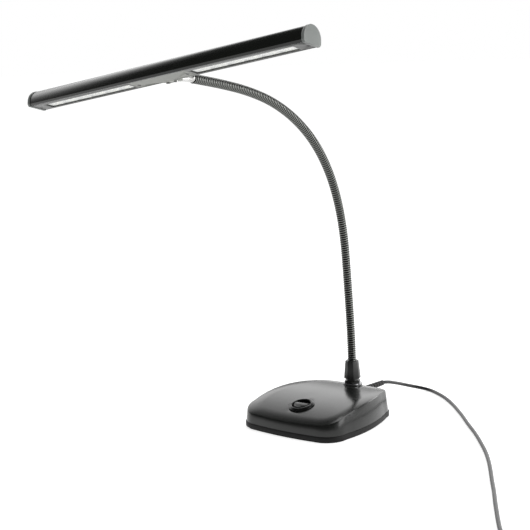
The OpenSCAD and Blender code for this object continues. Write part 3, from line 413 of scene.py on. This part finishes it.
@dataclass
class PhotoCamera:
    """The camera, at the place from which the photograph was taken."""

    azimuth: float = 40.96
    elevation: float = 8.921
    roll: float = -2.076
    focal_px: float = 1325.5
    frame_px: float = 530.0
    sensor_mm: float = 36.0
    distance: float = 1.5322
    target: Vector = field(default_factory=lambda: Vector((-0.078607, 0.0, 0.174898)))

    def place(self) -> bpy.types.Object:
        """Adds the camera and makes it the scene's.

        Returns:
            The camera.
        """
        azimuth, elevation, roll = (math.radians(a) for a in (self.azimuth, self.elevation, self.roll))
        back = Vector((
            math.sin(azimuth) * math.cos(elevation),
            -math.cos(azimuth) * math.cos(elevation),
            math.sin(elevation),
        ))
        level = Vector((math.cos(azimuth), math.sin(azimuth), 0.0))
        above = back.cross(level)
        right = math.cos(roll) * level + math.sin(roll) * above
        up = math.cos(roll) * above - math.sin(roll) * level
        data = bpy.data.cameras.new("photo_camera")
        data.sensor_width = self.sensor_mm
        data.lens = self.focal_px * self.sensor_mm / self.frame_px
        data.clip_end = 200.0
        camera = bpy.data.objects.new("photo_camera", data)
        camera.matrix_world = (
            Matrix.Translation(self.target + back * self.distance)
            @ Matrix((right, up, back)).transposed().to_4x4()
        )
        bpy.context.scene.collection.objects.link(camera)
        bpy.context.scene.camera = camera
        return camera


@dataclass
class SoftBox:
    """A large soft lamp that points at a place on the lamp."""

    name: str
    place: Point
    size: tuple[float, float]
    power: float
    target: Point = (0.0, 0.0, 0.15)

    def hang(self) -> None:
        """Adds the lamp to the scene."""
        data = bpy.data.lights.new(self.name, "AREA")
        data.shape = "RECTANGLE"
        data.size, data.size_y = self.size
        data.energy = self.power
        lamp = bpy.data.objects.new(self.name, data)
        lamp.location = self.place
        lamp.visible_camera = False
        lamp.rotation_euler = (Vector(self.target) - Vector(self.place)).to_track_quat("-Z", "Y").to_euler()
        bpy.context.scene.collection.objects.link(lamp)


@dataclass(frozen=True)
class Glow:
    """A bright screen far around the lamp, soft at its edges.

    It fades in between the cosines edge and core to its middle, rises over the heights low and falls over high.
    """

    towards: Point
    strength: float
    edge: float = 0.2
    core: float = 0.7
    low: tuple[float, float] = (-0.1, 0.0)
    high: tuple[float, float] = (0.5, 0.75)
    foot: float = 0.0


@dataclass
class Studio:
    """White surroundings, a pale floor and soft lamps."""

    floor_half: float = 40.0
    floor_color: float = 0.8
    floor_lift: float = 0.72
    ambient: float = 0.45
    room: float = 0.05
    glows: tuple[Glow, ...] = (
        Glow((-0.655, 0.755, 0.0), 2.1, low=(0.08, 0.32), foot=0.2),
        Glow((-0.65, -0.76, 0.0), 0.9, high=(-0.02, 0.06)),
        Glow((0.65, 0.75, 0.0), 0.9, high=(0.1, 0.4)),
    )
    soft_boxes: list[SoftBox] = field(default_factory=lambda: [
        SoftBox("right_softbox", (1.9, 0.75, 0.75), (1.3, 1.5), 22.0),
        SoftBox("rear_softbox", (0.45, 1.5, 0.28), (0.5, 0.45), 3.0, (0.0, 0.0, 0.1)),
        SoftBox("top_softbox", (-0.2, 1.0, 2.1), (1.6, 0.8), 14.0),
    ])

    def build(self) -> None:
        """Adds the surroundings, the floor and the lamps."""
        self.make_world()
        self.make_floor()
        for box in self.soft_boxes:
            box.hang()

    def glow_strength(
        self, tree: bpy.types.NodeTree, direction: bpy.types.NodeSocket, height: bpy.types.NodeSocket, glow: Glow
    ) -> bpy.types.NodeSocket:
        """One bright screen of the surroundings, as mirrored light sees it.

        Args:
            tree: The world's nodes.
            direction: The direction that is seen.
            height: The direction's Z.
            glow: The screen.

        Returns:
            The screen's strength in each direction.
        """
        towards = add_node(tree, "VectorMath", operation="DOT_PRODUCT")
        towards.inputs[1].default_value = glow.towards
        tree.links.new(direction, towards.inputs[0])
        across = add_node(tree, "MapRange", interpolation_type="SMOOTHSTEP", From_Min=glow.edge, From_Max=glow.core)
        tree.links.new(towards.outputs["Value"], across.inputs["Value"])
        rise = add_node(tree, "MapRange", interpolation_type="SMOOTHSTEP",
                        From_Min=glow.low[0], From_Max=glow.low[1], To_Min=glow.foot)
        fall = add_node(tree, "MapRange", interpolation_type="SMOOTHSTEP",
                        From_Min=glow.high[0], From_Max=glow.high[1], To_Min=glow.strength, To_Max=0.0)
        tree.links.new(height, rise.inputs["Value"])
        tree.links.new(height, fall.inputs["Value"])
        tall = add_node(tree, "Math", operation="MULTIPLY")
        tree.links.new(rise.outputs[0], tall.inputs[0])
        tree.links.new(fall.outputs[0], tall.inputs[1])
        whole = add_node(tree, "Math", operation="MULTIPLY")
        tree.links.new(tall.outputs[0], whole.inputs[0])
        tree.links.new(across.outputs[0], whole.inputs[1])
        return whole.outputs[0]

    def make_world(self) -> None:
        """White to the camera, and in mirrored light a dark room with a few bright screens."""
        world = bpy.data.worlds.new("studio")
        world.use_nodes = True
        bpy.context.scene.world = world
        tree = world.node_tree
        shader = tree.nodes["Background"]
        direction = add_node(tree, "TexCoord").outputs["Generated"]
        parts = add_node(tree, "SeparateXYZ")
        tree.links.new(direction, parts.inputs[0])
        room = add_node(tree, "Value")
        room.outputs[0].default_value = self.room
        mirrored = room.outputs[0]
        for glow in self.glows:
            total = add_node(tree, "Math", operation="ADD")
            tree.links.new(mirrored, total.inputs[0])
            tree.links.new(self.glow_strength(tree, direction, parts.outputs["Z"], glow), total.inputs[1])
            mirrored = total.outputs[0]
        rays = add_node(tree, "LightPath")
        glossy = add_node(tree, "Mix", data_type="FLOAT")
        glossy.inputs[2].default_value = self.ambient
        tree.links.new(rays.outputs["Is Glossy Ray"], glossy.inputs[0])
        tree.links.new(mirrored, glossy.inputs[3])
        seen = add_node(tree, "Math", operation="MAXIMUM")
        tree.links.new(rays.outputs["Is Camera Ray"], seen.inputs[0])
        tree.links.new(rays.outputs["Is Transmission Ray"], seen.inputs[1])
        strength = add_node(tree, "Mix", data_type="FLOAT")
        strength.inputs[3].default_value = 1.0
        tree.links.new(seen.outputs[0], strength.inputs[0])
        tree.links.new(glossy.outputs[0], strength.inputs[2])
        tree.links.new(strength.outputs[0], shader.inputs["Strength"])
        shader.inputs["Color"].default_value = (1.0, 1.0, 1.0, 1.0)

    def make_floor(self) -> None:
        """A wide pale table that keeps the lamp's shadow."""
        side = self.floor_half
        mesh = bpy.data.meshes.new("table_top")
        mesh.from_pydata([(-side, -side, 0), (side, -side, 0), (side, side, 0), (-side, side, 0)], [], [(0, 1, 2, 3)])
        floor = bpy.data.objects.new("table_top", mesh)
        bpy.context.scene.collection.objects.link(floor)
        made = bpy.data.materials.new("pale_table")
        made.use_nodes = True
        tree = made.node_tree
        shader = tree.nodes["Principled BSDF"]
        shader.inputs["Base Color"].default_value = (self.floor_color, self.floor_color, self.floor_color, 1.0)
        shader.inputs["Roughness"].default_value = 0.9
        shader.inputs["Specular IOR Level"].default_value = 0.0
        rays = add_node(tree, "LightPath")
        seen = add_node(tree, "Math", operation="MAXIMUM")
        tree.links.new(rays.outputs["Is Camera Ray"], seen.inputs[0])
        tree.links.new(rays.outputs["Is Glossy Ray"], seen.inputs[1])
        lift = add_node(tree, "Math", operation="MULTIPLY")
        lift.inputs[1].default_value = self.floor_lift
        tree.links.new(seen.outputs[0], lift.inputs[0])
        tree.links.new(lift.outputs[0], shader.inputs["Emission Strength"])
        shader.inputs["Emission Color"].default_value = (1.0, 1.0, 1.0, 1.0)
        floor.data.materials.append(made)


# ---------- Cord ----------


def unit(v: Vector) -> Vector:
    """The vector at length 1."""
    return v.normalized()


def refined(path: list[Vector]) -> list[Vector]:
    """A path with one more point between each two, on a smooth curve.

    Args:
        path: The points of the path.

    Returns:
        The finer path.
    """
    last = len(path) - 1
    finer: list[Vector] = []
    for i in range(last):
        before, here, after, beyond = path[max(i - 1, 0)], path[i], path[i + 1], path[min(i + 2, last)]
        finer += [here, (9 * (here + after) - before - beyond) / 16]
    return finer + [path[-1]]


@dataclass
class Cord:
    """The thin cord: from the strain relief over the table, into a coil, and on to the power supply."""

    diameter: float = 4.2 * MM
    lie: float = 2.2 * MM
    coil_pitch: float = 4.8 * MM
    coil_inner_r: float = 16.5 * MM
    coil_turns: float = 3.5
    coil_rings: int = 24
    layer_rise: float = 4.9 * MM
    climb: float = 0.5
    tail: float = 46 * MM
    supply_height: float = 13.5 * MM
    exit: Point = (0.0, 0.119, 0.021)

    def free_route(self) -> list[Vector]:
        """The centre line from the strain relief to the coil.

        Returns:
            The points, in metres.
        """
        lie = self.lie / MM
        route = [
            (0.4, 124, 20.3), (1, 131, 18.8), (1.4, 142, 15.6), (1.8, 152, 12.4), (3.4, 162, 9), (7.4, 170.6, 6),
            (13.8, 176.8, 3.8), (21.6, 178.8, 2.6), (31, 176.6, lie), (43, 170, lie), (57, 161, lie),
            (71, 150, lie),
            (91, 132, lie), (119, 104, lie), (145, 76, lie), (170, 50, lie), (193, 24, lie),
            (214, -1, lie), (233, -26, lie), (251, -52, lie), (269, -79, lie), (286, -104, lie),
            (303, -130, lie), (319, -154, lie), (334, -176, lie), (348, -195, lie), (362, -208, 2.4),
            (378, -215, 2.8), (395, -216, 3.2), (412, -216, 3.2),
        ]
        return [Vector(self.exit)] + [Vector(p) * MM for p in route]

    def coil(self, start: Vector, heading: Vector) -> list[Vector]:
        """The turns: in along the lower layer and out along the upper one.

        Args:
            start: Where the straight piece before the first turn begins.
            heading: The cord's direction there.

        Returns:
            The points after the start, to the end of the straight piece after the last turn.
        """
        side = Vector((-heading.y, heading.x, 0.0))
        outer = self.coil_inner_r + self.coil_turns * self.coil_pitch
        centre = start + heading * self.diameter + side * outer
        first = math.atan2(-side.y, -side.x)
        turns = 2 * self.coil_turns + 0.25
        points: list[Vector] = []
        for i in range(int(turns * self.coil_rings) + 1):
            t = i / self.coil_rings
            angle = first + math.tau * t
            radius = self.coil_inner_r + self.coil_pitch * abs(t - self.coil_turns)
            share = min(max((t - self.coil_turns) / self.climb + 0.5, 0.0), 1.0)
            rise = self.layer_rise * share * share * (3 - 2 * share)
            points.append(centre + Vector((radius * math.cos(angle), radius * math.sin(angle), rise)))
        away = Vector((-math.sin(angle), math.cos(angle), 0.0))
        points.append(points[-1] + away * self.diameter)
        return points

    def tail_points(self, start: Vector, heading: Vector) -> list[Vector]:
        """The short rise from the coil to the power supply.

        Args:
            start: The end of the coil.
            heading: The cord's direction there.

        Returns:
            The points after the start.
        """
        rise = self.supply_height - start.z
        shares = [i / 9 for i in range(1, 10)]
        return [start + heading * self.tail * s + Vector((0, 0, rise * s * s * (3 - 2 * s))) for s in shares]

    def build(self) -> bpy.types.Object:
        """Returns:
            The cord.
        """
        route = self.free_route()
        path = refined(refined(route))
        path += self.coil(path[-1], unit(path[-1] - route[-2]))
        path += self.tail_points(path[-1], unit(path[-1] - path[-2]))
        data = bpy.data.curves.new("cord", "CURVE")
        data.dimensions = "3D"
        data.bevel_depth = self.diameter / 2
        data.bevel_resolution = 3
        data.use_fill_caps = True
        spline = data.splines.new("POLY")
        spline.points.add(len(path) - 1)
        for place, point in zip(spline.points, path):
            place.co = (*point, 1.0)
        spline.use_smooth = True
        cord = bpy.data.objects.new("cord", data)
        bpy.context.scene.collection.objects.link(cord)
        data.materials.append(JACKET.material())
        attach(cord, "base")
        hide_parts("power_cord", "cord_coil", "cord_tail")
        return cord


# ---------- Neck ----------


@dataclass
class WoundNeck:
    """The flexible neck: one steel winding, in pieces that are each curved across one of the hinges that stand for it.
    """

    radius: float = 5.0 * MM
    groove: float = 0.95 * MM
    pitch: float = 2.6 * MM
    sides: int = 24
    samples: int = 40
    stub: float = 26.0 * MM
    blend_margin: float = 3.0 * MM
    join_distance: float = 0.001 * MM
    rib_squareness: float = 0.7
    crest_layer: str = WINDING.highlight_mask
    crest_edge: float = 2.0
    rib_places: tuple[float, ...] = (0.0, 0.1, 0.22, 0.38, 0.5, 0.62, 0.78, 0.9)

    def __post_init__(self) -> None:
        """Reads the hinges' places and samples the centre line."""
        places = {j["name"]: Vector(j["pos_m"]) for j in frame["joints"]}
        names = sorted(n for n in places if n.startswith("neck_joint_"))
        self.hinges = [places[n] for n in names]
        self.end = places["head_turn"]
        corners = [self.hinges[0] - Vector((0, 0, 2 * self.stub))] + self.hinges + [self.end]
        self.middles = [(a + b) / 2 for a, b in zip(corners, corners[1:])]
        self.line: list[Vector] = [self.middles[0]]
        for start, hinge, end in zip(self.middles, self.hinges, self.middles[1:]):
            for i in range(1, self.samples + 1):
                t = i / self.samples
                self.line.append((1 - t) ** 2 * start + 2 * t * (1 - t) * hinge + t * t * end)
        self.line.append(self.end)
        self.along = [0.0]
        for a, b in zip(self.line, self.line[1:]):
            self.along.append(self.along[-1] + (b - a).length)

    def point(self, s: float) -> tuple[Vector, Vector]:
        """The centre line's place and direction at a length from its foot.

        Args:
            s: The length along the line.

        Returns:
            The place and the direction.
        """
        s = min(max(s, 0.0), self.along[-1])
        low, high = 0, len(self.along) - 1
        while high - low > 1:
            middle = (low + high) // 2
            low, high = (middle, high) if self.along[middle] <= s else (low, middle)
        share = (s - self.along[low]) / (self.along[high] - self.along[low])
        before, after = self.direction(low), self.direction(high)
        return self.line[low].lerp(self.line[high], share), unit(before.lerp(after, share))

    def direction(self, i: int) -> Vector:
        """The centre line's direction at one of its samples."""
        return unit(self.line[min(i + 1, len(self.line) - 1)] - self.line[max(i - 1, 0)])

    def rib_radius(self, share: float) -> float:
        """The winding's radius at a share of its pitch from a groove."""
        return self.radius - self.groove * (1 - math.sin(math.pi * share) ** self.rib_squareness)

    def around(self, s: float, reach: float, k: int) -> Vector:
        """A point beside the centre line.

        Args:
            s: The length along the line.
            reach: The distance from the line.
            k: The number of the side, from +X on.

        Returns:
            The point.
        """
        centre, ahead = self.point(s)
        aside = Vector((1, 0, 0))
        over = unit(ahead.cross(aside))
        turn = math.tau * k / self.sides
        return centre + reach * (math.cos(turn) * aside + math.sin(turn) * over)

    def winding_row(self, form: bmesh.types.BMesh, rib: int, place: float) -> list[bmesh.types.BMVert]:
        """Adds the points of one turn of the helix, at one place across the rib.

        Args:
            form: The mesh that the points go into.
            rib: The rib's number from the neck's foot.
            place: The share of the pitch from the groove.

        Returns:
            The points, the last of them one pitch further than the first.
        """
        reach = self.rib_radius(place)
        return [
            form.verts.new(self.around((rib + place + k / self.sides) * self.pitch, reach, k))
            for k in range(self.sides + 1)
        ]

    def close_end(self, form: bmesh.types.BMesh) -> None:
        """Adds the square end face at the head."""
        reach = self.radius - self.groove / 2
        form.faces.new([form.verts.new(self.around(self.along[-1], reach, k)) for k in range(self.sides)])

    def piece(self, number: int, first: float, last: float, top: bool) -> bpy.types.Object:
        """Builds the winding between two places.

        Args:
            number: The piece's number from the base.
            first: Where it starts along the centre line.
            last: Where it ends.
            top: Whether it is the one that meets the head.

        Returns:
            The piece.
        """
        # the first piece starts one rib lower, inside the clamp nut
        start_rib = round(first / self.pitch) - (1 if number == 1 else 0)
        end_rib = math.ceil(self.along[-1] / self.pitch) if top else round(last / self.pitch)
        rows = [(rib, place) for rib in range(start_rib, end_rib) for place in self.rib_places] + [(end_rib, 0.0)]
        form = bmesh.new()
        crest = form.verts.layers.float.new(self.crest_layer)
        strips = [self.winding_row(form, rib, place) for rib, place in rows]
        for low, high in zip(strips, strips[1:]):
            for k in range(self.sides):
                form.faces.new((low[k], low[k + 1], high[k + 1], high[k]))
        # the crest share places the painted highlight along the middle of each rib
        for strip, (_, place) in zip(strips, rows):
            for vert in strip:
                vert[crest] = math.sin(math.pi * place) ** self.crest_edge
        if top:
            self.close_end(form)
        # each row ends where the row one rib higher begins
        bmesh.ops.remove_doubles(form, verts=form.verts[:], dist=self.join_distance)
        bmesh.ops.dissolve_degenerate(form, edges=form.edges[:], dist=self.join_distance)
        for face in form.faces:
            face.smooth = True
        mesh = bpy.data.meshes.new(f"neck_winding_{number:02d}")
        form.to_mesh(mesh)
        form.free()
        mesh.materials.append(WINDING.material())
        made = bpy.data.objects.new(mesh.name, mesh)
        bpy.context.scene.collection.objects.link(made)
        return made

    def build(self) -> None:
        """Builds all the pieces, each curved across its hinge, and hides the CAD segments that they replace."""
        lengths = len(self.hinges) + 1
        marks = [self.along[self.samples * i] for i in range(lengths)]
        for i, hinge in enumerate(self.hinges):
            top = i == len(self.hinges) - 1
            made = self.piece(i + 1, marks[i], marks[i + 1], top)
            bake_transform(made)
            segments = [f"neck_segment_{i + 1:02d}"] + ([f"neck_segment_{lengths:02d}"] if top else [])
            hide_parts(*segments)
        LOG.info("neck: %d pieces", len(self.hinges))


# ---------- The lamp ----------


SOLIDS = [
    Solids(HOUSING, ["base_housing"], 0.5 * MM, 3),
    Solids(PLATE_PAINT, ["base_plate"], 0.4 * MM),
    Solids(WEIGHT, ["steel_weight"], 0.4 * MM),
    Solids(PAD, ["foot_pad"], 0.3 * MM),
    Solids(ZINC, ["base_screws", "gland_lock_nut", "gland_washer", "swivel_clip", "bracket_block"]),
    Solids(ROCKER, ["switch_rim", "switch_rocker", "switch_body"], 0.35 * MM, 3),
    Solids(NUT, ["gland_body", "clamp_nut"], 0.35 * MM, 3),
    Solids(BRASS, ["switch_tabs", "board_pillars"]),
    Solids(LAMINATE, ["driver_board", "light_board_left", "light_board_right"]),
    Solids(WHITE_PART, ["driver_parts", "cord_clamp", "gland_sleeve"]),
    Solids(JACKET, ["base_wires"]),
    Solids(RELIEF, ["strain_relief", "supply_relief"], 0.15 * MM),
    Solids(BRIGHT, ["head_bracket"], 0.25 * MM),
    Solids(BRIGHT, ["supply_pins", "tongue_screws"]),
    Solids(TONGUE, ["head_plate"], 0.2 * MM),
    Solids(DARK_SCREW, ["underside_screws"]),
    Solids(BAR, ["bar_housing"], 0.2 * MM),
    Solids(CAP, ["end_cap_left", "end_cap_right"], 0.45 * MM, 3),
    Solids(COVER, ["window_cover_left", "window_cover_right"], 0.15 * MM),
    Solids(REFLECTOR_WITH_PAINTED_GLOW, ["reflector_left", "reflector_right"]),
    Solids(PHOSPHOR, ["lights_left", "lights_right"]),
    Solids(STRAP, ["cord_tie"], 0.3 * MM),
    Solids(SUPPLY, ["supply_body", "supply_lid"], 0.8 * MM, 3),
]


def main() -> None:
    """Builds the camera, the cord, the studio, the neck and the finishes, in that order."""
    logging.basicConfig(level=logging.INFO)
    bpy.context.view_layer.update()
    make_grain_group()
    make_wear_group()
    PhotoCamera().place()
    Cord().build()
    Studio().build()
    WoundNeck().build()
    crisp = make_crisp_group()
    for solids in SOLIDS:
        solids.dress(crisp)
    bpy.context.scene.view_settings.view_transform = "Standard"


if __name__ == "__main__":
    main()
